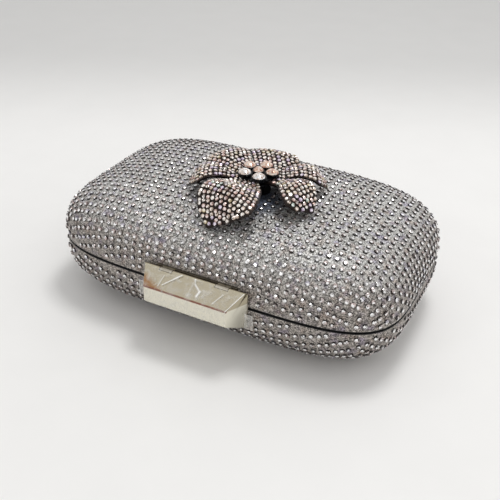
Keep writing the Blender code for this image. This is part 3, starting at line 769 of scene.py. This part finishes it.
def clothPoint(half, inset, x, y, share):
    # A point and its normal on the dome, from a direction in plan and a share of the way out
    a, b = case["halfLength"] - inset, case["halfWidth"] - inset
    depth, n, m = halfDepth(half) - inset, case["planPower"], half["power"]
    drop = max(1 - max(share, half["flat"]) ** m, 0) ** (1 / m)
    spot = Vector((a * x * share, b * y * share, half["rim"] + half["way"] * depth * drop))
    if share < half["flat"]:
        return spot, Vector((0, 0, half["way"]))
    slope = m * max(share, 1e-6) ** (m - n)
    normal = Vector((
        slope * abs(x * share) ** (n - 1) * math.copysign(1, x) / a,
        slope * abs(y * share) ** (n - 1) * math.copysign(1, y) / b,
        m * drop ** (m - 1) / depth * half["way"]))
    return spot, normal.normalized()


def blocked(halfName, spot):
    # Nothing is fixed under the bar, at the hinges or under the flower's foot
    reach, low, high = clasp["stoneRoom"]
    if spot.y < -crystal["endWall"] and abs(spot.x) < reach and low < spot.z < high:
        return True
    beside, above = hinge["stoneRoom"]
    if spot.y > crystal["endWall"] and abs(spot.z - case["seamLevel"]) < above:
        if min(abs(spot.x - centre) for centre in hinge["centres"]) < hinge["half"] + beside:
            return True
    return halfName == "lid" and math.hypot(spot.x - flower["x"], spot.y - flower["y"]) < flower["stoneRoom"]


def crowded(spot, cells):
    # Whether a stone already lies too near; if not, this one is noted in its cell
    i, j, k = (int(math.floor(part / crystal["least"])) for part in spot)
    around = [(i + a, j + b, k + c) for a in (-1, 0, 1) for b in (-1, 0, 1) for c in (-1, 0, 1)]
    if any((spot - other).length < crystal["least"] for key in around for other in cells.get(key, ())):
        return True
    cells.setdefault((i, j, k), []).append(spot)
    return False


def latticePlaces(halfName):
    # Rows run straight over the top in plan, and sink towards the seam as they turn the corners
    dice = random.Random(crystal["seed"])
    half, look, n = case[halfName], crystal[halfName], case["planPower"]
    alongTable = profileShares(half, case["halfLength"], look["wall"])
    acrossTable = profileShares(half, case["halfWidth"], look["wall"])
    rows, columns = crystal["rows"], crystal["columns"]
    places, cells = [], {}
    for row in sorted(range(-rows, rows + 1), key=abs):
        for column in sorted(range(-columns, columns + 1), key=abs):
            across = row * look["pitch"] + look["shift"][1]
            along = column * look["pitch"] + look["shift"][0]
            along, across = along + across * look["lean"], across - along * look["lean"]
            alongShare, acrossShare = shareAt(alongTable, abs(along)), shareAt(acrossTable, abs(across))
            if alongShare is None or acrossShare is None:
                continue
            mean = (alongShare ** n + acrossShare ** n) ** (1 / n)
            far = max(alongShare, acrossShare)
            share = far + (1 - far) * (1 - math.exp(-look["turn"] * (mean - far) / max(1 - far, 1e-6)))
            if share > 0.9999 or mean > crystal["cornerReach"]:
                continue
            x, y = math.copysign(alongShare, along) / mean, math.copysign(acrossShare, across) / mean
            spot, normal = clothPoint(half, cloth["inset"], x, y, share)
            if abs(spot.z - half["rim"]) < crystal["rimRoom"] or spot.z < crystal["footRoom"]:
                continue
            if blocked(halfName, spot) or crowded(spot, cells):
                continue
            places.append((spot - normal * crystal["sunk"], normal, dice.uniform(*crystal["sizes"])))
    return places


for halfName in ("tray", "lid"):
    model = cutStone(crystal)
    places = latticePlaces(halfName)
    stones = setStones(halfName + "_crystals", model, places, crystal, crystal["seed"])
    seat(stones, halfName, finishes["crystal"])
    print(halfName, "crystals:", len(places))


# Linings

lining = {"inset": 0.004, "thickness": 0.0009, "start": 0.0083, "around": 132, "rings": 24}

for halfName, side in case["nodes"]:
    pan = domedWall(halfName + "_satin", case[halfName], lining, lining["start"])
    if halfName == "lid":
        postHole(pan, flower["satinLevel"])
    seat(pan, halfName, finishes["lining"], 50)
    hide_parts(side + "_lining")
print("linings in")


# Flower: six plates set all over with small stones

petal = {
    "length": 0.0424,
    "halfWidth": 0.017,
    "crest": 0.0044,
    "level": 0.0758,
    "root": 0.0026,
    "flat": 0.0111,
    "gap": 0.0005,
    "tipWidth": 0.0012,
    "tipGap": 0.0011,
    "edgeDrop": 0.0032,
    "droopPower": 1.3,
    "plate": 0.001,
    "round": 0.00015,
    "stations": (0.0, 0.2, 0.32, 0.44, 0.56, 0.68, 0.8, 0.91, 1.0),
    "edges": {                # half widths at the stations
        "even": (0.3, 0.6, 0.8, 0.94, 1.0, 0.96, 0.78, 0.48, 0.0),
        "slim": (0.3, 0.45, 0.58, 0.67, 0.73, 0.75, 0.73, 0.53, 0.0),
        "full": (0.3, 0.55, 0.75, 0.9, 1.05, 1.15, 1.16, 0.77, 0.0),
        "late": (0.3, 0.15, 0.13, 0.37, 0.68, 0.91, 1.02, 0.85, 0.0),
    },
    # heading and limits in degrees, shares of length, width and crest, and the form of each edge
    "shares": {
        "petal_front": (259.6, 222.0, 303.0, 0.985, 1, 1, "slim", "full"),
        "petal_front_right": (343.4, 316.0, 371.5, 0.889, 0.718, 0.91, "late", "even"),
        "petal_right": (28.0, 11.5, 62.0, 0.877, 0.753, 0.77, "even", "even"),
        "petal_back": (98.0, 62.0, 126.0, 0.837, 0.912, 0.7, "even", "even"),
        "petal_back_left": (155.0, 126.0, 181.0, 0.91, 0.824, 0.82, "even", "even"),
        "petal_left": (204.0, 181.0, 222.0, 0.873, 0.794, 0.73, "even", "even"),
    },
}

pave = {
    "pitch": 0.0025,
    "rowShare": 0.93,
    "nudge": 0.12,
    "radius": 0.00117,
    "height": 0.00095,
    "sizes": (0.95, 1.05),
    "sunk": 0.00006,
    "sides": 8,
    "edge": 0.0015,
    "frontEdge": 0.002,       # more of the black plate shows round the two front petals
    "tipRoom": 0.0006,
    "probe": (0.001, 0.0003, 0.02),   # short steps that find a row's pitch and a stone's normal
    "tints": [
        ("#ecd0b8", 0.3), ("#e2b3a3", 0.24), ("#f6e8d9", 0.19), ("#d0b3d4", 0.1), ("#e0c78b", 0.06),
        ("#bccfbc", 0.02), ("#8f6856", 0.09)],
    "wander": 80,
    "flashTurn": (0, 90),
    "shadeSide": 0.5,
    "flash": -0.15,
    "girdle": 0.2,
    "crown": (0.3, 0.85),
    "shoulder": (0.4, 1.0),
    "table": (0.45, 1.0),
    "bright": (1.0, 1.0),
    "clear": 0.6,
    "topShade": 0.0,
    "streaks": (0.06, 0.05),
}


def lidLevel(x, y):
    half = case["lid"]
    share = min(planShare(x, y), 1)
    return half["rim"] + halfDepth(half) * (1 - share ** half["power"]) ** (1 / half["power"])


def petalWidth(along, edge):
    # The half width's share at a share of the length, for one form of edge
    stations = petal["stations"]
    for number, (low, high) in enumerate(zip(stations, stations[1:])):
        if along <= high:
            part = (along - low) / (high - low)
            return edge[number] + (edge[number + 1] - edge[number]) * part
    return 0.0


def petalPoint(values, reach, turn, lift):
    # A point on a petal, and the half width there: reach from the middle, turn from -1
    # to 1 across it, lift above its underside
    heading, lowEdge, highEdge, lengthShare, widthShare, crestShare, lowForm, highForm = values
    edge = petal["edges"][lowForm if turn < 0 else highForm]
    length, width = petal["length"] * lengthShare, petal["halfWidth"] * widthShare
    axis = math.radians(heading)
    c, s = math.cos(axis), math.sin(axis)
    limit = math.radians(heading - lowEdge if turn < 0 else highEdge - heading)
    tip = lidLevel(flower["x"] + length * c, flower["y"] + length * s) + petal["tipGap"]
    rise = petal["crest"] * crestShare
    crestReach = petal["flat"] + (length - petal["flat"]) / 2
    if reach < crestReach:
        climb = max((reach - petal["flat"]) / (crestReach - petal["flat"]), 0)
        level = petal["level"] + rise * (1 - math.cos(math.pi * climb)) / 2
    else:
        fall = (reach - crestReach) / (length - crestReach)
        droop = math.pi / 2 * min(fall, 1) ** petal["droopPower"]
        level = tip + (petal["level"] + rise - tip) * math.cos(droop)
    past = clamp((reach - petal["flat"]) / (length - petal["flat"]))
    along = (reach - petal["root"]) / (length - petal["root"])
    half = petal["tipWidth"] / 2 + width * petalWidth(along, edge)
    side = min(half, reach * math.tan(min(limit, math.radians(80))) - petal["gap"] / 2 / math.cos(limit))
    across = side * turn
    sag = petal["edgeDrop"] * (across / width) ** 2 * math.sin(math.pi * past)
    x, y = flower["x"] + reach * c - across * s, flower["y"] + reach * s + across * c
    return Vector((x, y, level - sag + lift)), side


def petalPlate(name, values):
    # A grid bent to the petal's form, then thickened and softened at its edge
    plate = newGrid(name + "_plate", 36, 16)
    length = petal["length"] * values[3]
    for point in plate.data.vertices:
        reach = petal["root"] + (length - petal["root"]) * (point.co.x + 1) / 2
        point.co = petalPoint(values, reach, point.co.y, petal["plate"])[0]
    faceOut(plate, 1)
    applyModifier(plate, "SOLIDIFY", thickness=petal["plate"], offset=-1)
    applyModifier(plate, "BEVEL", width=petal["round"], segments=2,
                  limit_method="ANGLE", angle_limit=math.radians(60))
    seat(plate, "lid", finishes["petal"], 40)
    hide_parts(name)


def pavePlaces(values, edge, seed):
    # Rows across the petal, each spread evenly between its two edges
    dice = random.Random(seed)
    length = petal["length"] * values[3]
    places = []
    pitchStep, aheadStep, besideStep = pave["probe"]
    reach = petal["root"] + pave["edge"]
    while reach < length - pave["tipRoom"]:
        low = petalPoint(values, reach, -1, 0)[1]
        high = petalPoint(values, reach, 1, 0)[1]
        width = low + high - 2 * edge
        count = max(int(width / pave["pitch"]) + 1, 1)
        for number in range(count):
            if count == 1:
                across = (high - low) / 2
            else:
                across = -low + edge + width * number / (count - 1)
            turn = across / low if across < 0 else across / high
            out = reach + dice.uniform(-pave["nudge"], pave["nudge"]) * pave["pitch"]
            spot = petalPoint(values, out, turn, petal["plate"])[0]
            ahead = petalPoint(values, out + aheadStep, turn, petal["plate"])[0] - spot
            beside = petalPoint(values, out, min(turn, 1) + besideStep, petal["plate"])[0] - spot
            normal = ahead.cross(beside).normalized()
            if normal.z < 0:
                normal.negate()
            places.append((spot - normal * pave["sunk"], normal, dice.uniform(*pave["sizes"])))
        step = petalPoint(values, reach + pitchStep, 0, 0)[0] - petalPoint(values, reach, 0, 0)[0]
        reach += pave["pitch"] * pave["rowShare"] * pitchStep / step.length
    return places


for number, (name, values) in enumerate(petal["shares"].items()):
    petalPlate(name, values)
    model = cutStone(pave, girdle=0.3, shoulder=0.86, table=0.6)
    places = pavePlaces(values, pave["frontEdge" if "front" in name else "edge"], number + 11)
    stones = setStones(name + "_stones", model, places, pave, number + 31)
    seat(stones, "lid", finishes["pave"])
    print(name, "stones:", len(places))


# Cluster of large stones in the middle

cluster = {
    "ring": 0.0076,
    "turn": -62.0,
    "count": 5,
    "radius": 0.0035,
    "middle": 0.8,
    "low": 0.0789,
    "height": 0.0026,
    "sides": 12,
    # shares of the radius and height
    "levels": [(0.62, 0.0), (0.96, 0.34), (1.0, 0.42), (0.86, 0.7), (0.52, 1.0)],
    "tones": (0.6, 1.05),
    "under": (0.4, 0.3),      # the tone of what lies below this share of the height
    "tints": ["#f3d9c6", "#e5bfa6", "#d3a089", "#f8eadd", "#ac7b66"],
    # painted reflection: near-white tints for the two front stones
    "pale": ["#ffffff", "#f6efe9", "#e9d8cb", "#cdb7a9"],
}


def largeStone(number, x, y, size, tints):
    # A round brilliant: pavilion, girdle, two rows of crown facets turned half a step, and a table
    clearSelection()
    radius, levels = cluster["radius"] * size, cluster["levels"]
    bpy.ops.mesh.primitive_circle_add(
        vertices=cluster["sides"], radius=radius * levels[0][0], fill_type="NGON",
        location=(x, y, cluster["low"]))
    bpy.ops.object.transform_apply(location=True)
    stone = bpy.context.object
    stone.name = "chaton_" + str(number)
    editAll()
    for (share, level), (nextShare, nextLevel) in zip(levels, levels[1:]):
        drawOut((nextLevel - level) * cluster["height"], nextShare / share, (x, y, 0))
        if nextLevel > 0.5:
            turn = math.pi / cluster["sides"]
            bpy.ops.transform.rotate(value=turn, orient_axis="Z", center_override=(x, y, 0))
    bpy.ops.mesh.poke()       # the table shows the pavilion's star
    bpy.ops.mesh.select_all(action="SELECT")
    bpy.ops.mesh.quads_convert_to_tris(quad_method="SHORTEST_DIAGONAL", ngon_method="CLIP")
    bpy.ops.mesh.normals_make_consistent(inside=False)
    bpy.ops.object.mode_set(mode="OBJECT")
    dice = random.Random(50 + number)
    layer = stone.data.color_attributes.new("facetTone", "FLOAT_COLOR", "CORNER")
    for face in stone.data.polygons:
        tint = srgb(dice.choice(tints))
        tone = dice.uniform(*cluster["tones"])
        if face.center.z < cluster["low"] + cluster["height"] * cluster["under"][0]:
            tone = cluster["under"][1]
        for corner in face.loop_indices:
            layer.data[corner].color = [min(part * tone, 1) for part in tint[:3]] + [1]
    seat(stone, "lid", finishes["chaton"])
    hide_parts("stone_" + str(number))


largeStone(1, flower["x"], flower["y"], cluster["middle"], cluster["tints"])
for number in range(cluster["count"]):
    angle = math.radians(cluster["turn"]) + 2 * math.pi * number / cluster["count"]
    x, y = flower["x"] + cluster["ring"] * math.cos(angle), flower["y"] + cluster["ring"] * math.sin(angle)
    # The two front stones take the pale tints, a painted reflection
    largeStone(number + 2, x, y, 1, cluster["pale" if number in (0, 4) else "tints"])
print("flower set")


# Clasp: the bar with its edges eased, and the clear film left on its face

bar = {"ease": 0.00035, "sharp": 25}     # how far its edges are rounded, and from which angle


def easedBar():
    # A copy of the CAD bar, its loose triangles merged and its edges rounded a little
    clearSelection()
    piece = bpy.data.objects.new("clasp_bar_polished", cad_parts["clasp_bar"].data.copy())
    scene.collection.objects.link(piece)
    pick(piece)
    editAll()
    bpy.ops.mesh.remove_doubles(threshold=0.00001)
    bpy.ops.mesh.dissolve_limited(angle_limit=math.radians(1))
    bpy.ops.object.mode_set(mode="OBJECT")
    applyModifier(piece, "BEVEL", width=bar["ease"], segments=3, limit_method="ANGLE",
                  angle_limit=math.radians(bar["sharp"]), harden_normals=False)
    seat(piece, "clasp", finishes["clasp"], 20)
    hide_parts("clasp_bar")


film = {
    # y and z down the bar's front, and half its length at each
    "run": [(-0.0640, 0.0430), (-0.0733, 0.03645), (-0.0733, 0.02735), (-0.0645, 0.0226)],
    "halves": [0.0288, 0.0233, 0.0233, 0.0283],
    "stand": 0.00012,
    "lift": 0.0004,
    "wave": 0.00015,
    "slope": 11.4,            # length of the sloping face in mm
    "flap": {"reach": (0.0288, 0.0332), "low": 0.0225, "high": 0.0312, "y": -0.0636, "lift": 0.0004},
    # creases: from and to (mm along the bar, share up the sloping face), half width in mm, whiteness
    "creases": [
        ((-16.0, 0.19), (-15.1, 0.7), 0.3, 0.45),
        ((-13.9, 0.29), (-6.0, 0.98), 0.3, 0.9),
        ((5.9, 0.28), (6.4, 0.5), 0.65, 1.0),
        ((6.4, 0.5), (2.7, 0.75), 0.45, 0.9),
        ((2.7, 0.75), (1.5, 1.0), 0.3, 0.8),
        ((1.2, 0.18), (1.5, 0.78), 0.7, 0.25),
        ((15.2, 0.18), (18.5, 0.68), 0.35, 0.6),
        ((23.2, 0.0), (28.6, 1.0), 0.35, 1.0),
    ],
}


def creaseMilk(along, up):
    # How white the film is at a point of the sloping face
    milk = 0.0
    spot = Vector((along, up * film["slope"]))
    for first, second, width, white in film["creases"]:
        start, end = (Vector((mm, share * film["slope"])) for mm, share in (first, second))
        way = end - start
        share = clamp((spot - start).dot(way) / way.length_squared)
        milk = max(milk, white * math.exp(-((spot - start - way * share).length / width) ** 2))
    return milk


def seatFilm(sheet, milk):
    # The film's whiteness is held by its points
    sheet.data.attributes.new("milk", "FLOAT", "POINT").data.foreach_set("value", milk)
    seat(sheet, "clasp", finishes["film"], 60)


def claspFilm():
    # A grid laid over the bar's front, raised along its creases
    sheet = newGrid("clasp_film", 200, 84)
    run, halves = film["run"], film["halves"]
    lengths = [math.dist(first, second) for first, second in zip(run, run[1:])]
    values = []
    for point in sheet.data.vertices:
        down = (1 - point.co.y) / 2 * sum(lengths)
        step = 0
        while step < len(lengths) - 1 and down > lengths[step]:
            down -= lengths[step]
            step += 1
        share = min(down / lengths[step], 1)
        (y0, z0), (y1, z1) = run[step], run[step + 1]
        x = point.co.x * (halves[step] + (halves[step + 1] - halves[step]) * share)
        normal = Vector((0, z1 - z0, y0 - y1)).normalized()
        if normal.y > 0:
            normal.negate()
        milk = creaseMilk(x * 1000, 1 - share) if step == 0 else 0.0
        wave = abs(noise.noise(Vector((x * 160, (step + share) * 3, 3.1)))) * film["wave"]
        raised = normal * (film["stand"] + wave + milk * film["lift"])
        point.co = Vector((x, y0 + (y1 - y0) * share, z0 + (z1 - z0) * share)) + raised
        values.append(0.04 + milk * 0.92)
    seatFilm(sheet, values)


def filmFlap(name, side):
    # The film's loose margin past each end of the bar
    sheet = newGrid(name, 16, 22)
    look = film["flap"]
    values = []
    for point in sheet.data.vertices:
        across, up = (point.co.x + 1) / 2, (point.co.y + 1) / 2
        ragged = 1 + 0.12 * noise.noise(Vector((up * 4, side, 0.5)))
        x = look["reach"][0] + (look["reach"][1] - look["reach"][0]) * across * ragged
        z = look["low"] + (look["high"] - look["low"]) * up
        lift = look["lift"] * abs(noise.noise(Vector((across * 3, up * 5, side * 2.0))))
        edge = max(abs(up * 2 - 1), across)
        values.append(0.22 + 0.35 * max(edge - 0.88, 0) / 0.12)
        point.co = Vector((x * side, look["y"] - lift, z))
    seatFilm(sheet, values)


easedBar()
filmFlap("clasp_film_left", -1)
filmFlap("clasp_film_right", 1)
claspFilm()
print("clasp done")


# CAD nodes that keep their shape

nodeFinishes = {
    "shell": ("lower_shell", "upper_shell"),
    "frame": ("lower_frame", "upper_frame"),
    "hinge": ("hinge_leaf_lower_left", "hinge_leaf_lower_right", "hinge_leaf_upper_left",
              "hinge_leaf_upper_right", "hinge_pin_left", "hinge_pin_right", "clasp_pin"),
    "bracket": ("clasp_bracket",),
    "steel": ("clasp_magnet", "strike_plate"),
    "black": ("cluster_setting", "flower_post", "flower_seat", "flower_washer", "flower_nut"),
}
for finishName, nodeNames in nodeFinishes.items():
    for nodeName in nodeNames:
        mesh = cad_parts[nodeName].data
        mesh.materials.clear()
        mesh.materials.append(finishes[finishName])


# Floor, light and camera

studio = {
    "floor": ("#efeeec", "#f1f0ee"),
    "paleSide": "#ffffff",
    "dimSide": "#949494",
    "paleWay": (0.62, 0.15, 0.77),    # the room is palest this way
    "paleRange": (-0.4, 0.8),
    "strength": (0.86, 0.95),         # as light, and where it is seen
    "aim": (0, 0, 0.03),
    "lamps": {                        # power, place and size
        "key softbox": (3.0, (0.09, 0.17, 0.95), 0.24),
        "glint lamp": (0.4, (-0.3, -0.75, 0.6), 0.12),
    },
    "backWay": (-0.44, 0.9, 0),       # painted shade: the floor darkens this way, behind the bag
    "floorShade": {"interpolation_type": "SMOOTHSTEP", "from": (0.18, 0.44), "to": (1.0, 0.75)},
}


def addFloor():
    clearSelection()
    bpy.ops.mesh.primitive_plane_add(size=6, location=(0, 0, -0.0002))
    floor = bpy.context.object
    floor.name = "studio_floor"
    bpy.ops.object.transform_apply(location=True)
    finish, tree, shader, place = newFinish("white laminate", {"Roughness": 0.6, "IOR": 1.45})
    mottle = addNode(tree, "TexNoise", {"Scale": 30.0, "Detail": 3.0, "Vector": place})
    tint = addNode(tree, "ValToRGB", {"stops": list(zip((0.3, 0.7), studio["floor"])), "Fac": mottle})
    # Painted shade: the floor's colour darkens towards the back
    away = addNode(tree, "VectorMath", {"operation": "DOT_PRODUCT", 0: place, 1: studio["backWay"]})
    dim = addNode(tree, "MapRange", studio["floorShade"] | {"Value": away})
    colour = addNode(tree, "Mix", tinting | {0: 1.0, 6: tint, 7: dim})
    fill(tree, shader, {"Base Color": colour})
    floor.data.materials.append(finish)


def addLamp(name, power, place, size):
    lamp = bpy.data.lights.new(name, "AREA")
    lamp.energy = power
    lamp.size = size
    holder = bpy.data.objects.new(name, lamp)
    holder.location = place
    holder.rotation_euler = (Vector(studio["aim"]) - Vector(place)).to_track_quat("-Z", "Y").to_euler()
    scene.collection.objects.link(holder)


def addWorld():
    # A pale room that lights more from one side, and looks evenly pale where it is seen or mirrored
    world = bpy.data.worlds.new("pale studio")
    scene.world = world
    world.use_nodes = True
    tree = world.node_tree
    aim = addNode(tree, "TexCoord", {}).outputs["Generated"]
    side = addNode(tree, "VectorMath", {"operation": "DOT_PRODUCT", 0: aim, 1: studio["paleWay"]})
    level = addNode(tree, "MapRange", {"from": studio["paleRange"], "Value": side})
    stops = [(0.0, studio["dimSide"]), (1.0, studio["paleSide"])]
    sky = addNode(tree, "ValToRGB", {"stops": stops, "Fac": level})
    rays = addNode(tree, "LightPath", {}).outputs
    shown = rays["Is Camera Ray"]
    for ray in ("Is Glossy Ray", "Is Transmission Ray"):
        shown = addNode(tree, "Math", {"operation": "MAXIMUM", 0: shown, 1: rays[ray]})
    colour = addNode(tree, "Mix", covering | {0: shown, 6: sky, 7: srgb(studio["paleSide"])})
    strength = addNode(tree, "MapRange", {"to": studio["strength"], "Value": shown})
    fill(tree, tree.nodes["Background"], {"Color": colour, "Strength": strength})


camera = {
    "azimuth": 26.106,
    "elevation": 32.343,
    "roll": 1.6,
    "distance": 0.433202,
    "frame": 500,            # pixels
    "focal": 765.814,        # in the same pixels
    "centre": (250.997, 237.666),
    "sensor": 36,            # mm
}


def addCamera():
    az, el, roll = (math.radians(camera[key]) for key in ("azimuth", "elevation", "roll"))
    back = Vector((math.sin(az) * math.cos(el), -math.cos(az) * math.cos(el), math.sin(el)))
    level = Vector((math.cos(az), math.sin(az), 0))
    upright = back.cross(level)
    right = level * math.cos(roll) + upright * math.sin(roll)
    up = upright * math.cos(roll) - level * math.sin(roll)
    middle = camera["frame"] / 2
    sideways = (camera["centre"][0] - middle) / camera["focal"] * camera["distance"]
    upwards = -(camera["centre"][1] - middle) / camera["focal"] * camera["distance"]
    place = back * camera["distance"] - right * sideways - up * upwards + Vector((0, 0, case["seamLevel"]))
    lens = bpy.data.cameras.new("photo camera")
    lens.sensor_width = camera["sensor"]
    lens.lens = camera["focal"] / camera["frame"] * camera["sensor"]
    lens.clip_start = 0.01
    holder = bpy.data.objects.new("photo camera", lens)
    holder.matrix_world = Matrix((
        (right.x, up.x, back.x, place.x),
        (right.y, up.y, back.y, place.y),
        (right.z, up.z, back.z, place.z),
        (0, 0, 0, 1)))
    scene.collection.objects.link(holder)
    scene.camera = holder


addFloor()
for name, values in studio["lamps"].items():
    addLamp(name, *values)
addWorld()
addCamera()
scene.view_settings.view_transform = "Standard"
print("studio set")
